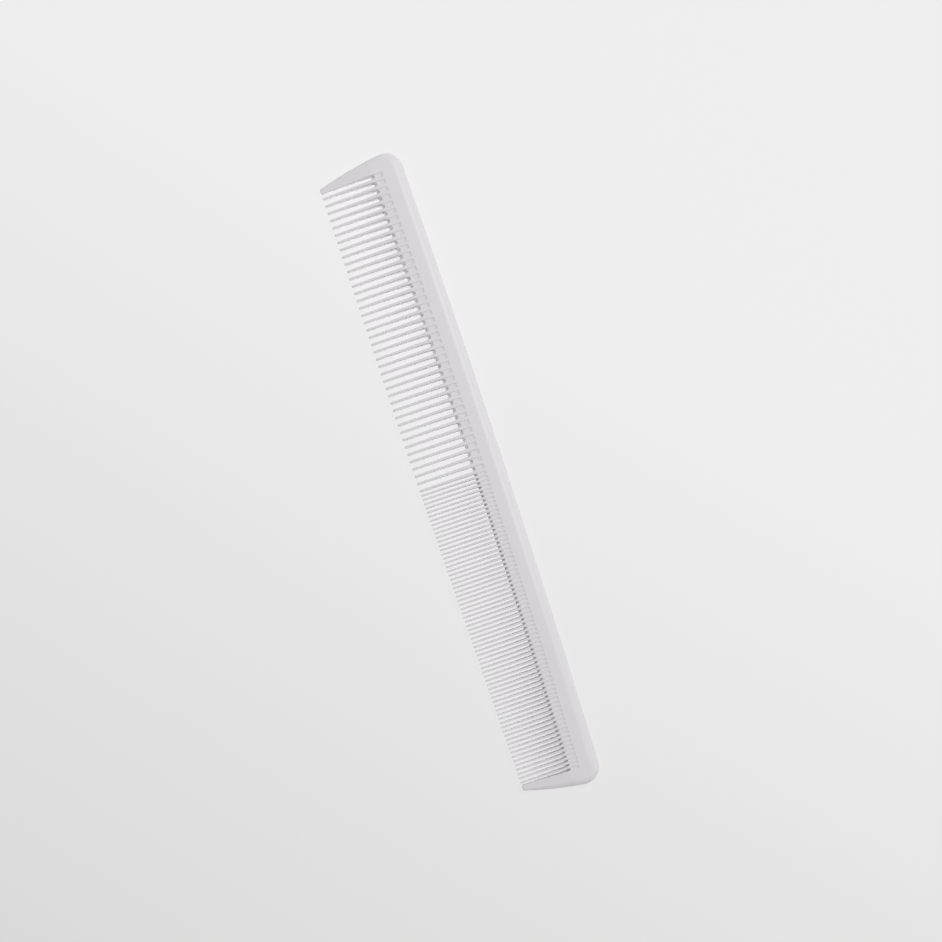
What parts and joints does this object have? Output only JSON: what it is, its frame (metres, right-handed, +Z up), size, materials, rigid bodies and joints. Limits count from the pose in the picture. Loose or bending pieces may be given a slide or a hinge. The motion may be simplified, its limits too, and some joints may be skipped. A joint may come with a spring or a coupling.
{
  "type": "cutting comb",
  "caption": "White one-piece barber's cutting comb with a thick rounded back, coarse teeth on one half, fine teeth on the other and a solid guard tooth at each end.",
  "frame": {"origin": "bottom centre of the comb's bounding box, on the plane that the comb lies on", "axes": "+X along the comb from the coarse end to the fine end, +Y from the tooth tips to the back, +Z up through the thickness"},
  "size_m": [0.19, 0.0258, 0.0046],
  "materials": {
    "white_plastic": "satin"
  },
  "bodies": {
    "root": {"spine": "white_plastic", "coarse_end_guard": "white_plastic", "fine_end_guard": "white_plastic", "coarse_teeth": "white_plastic", "fine_teeth": "white_plastic"}
  },
  "joints": []
}
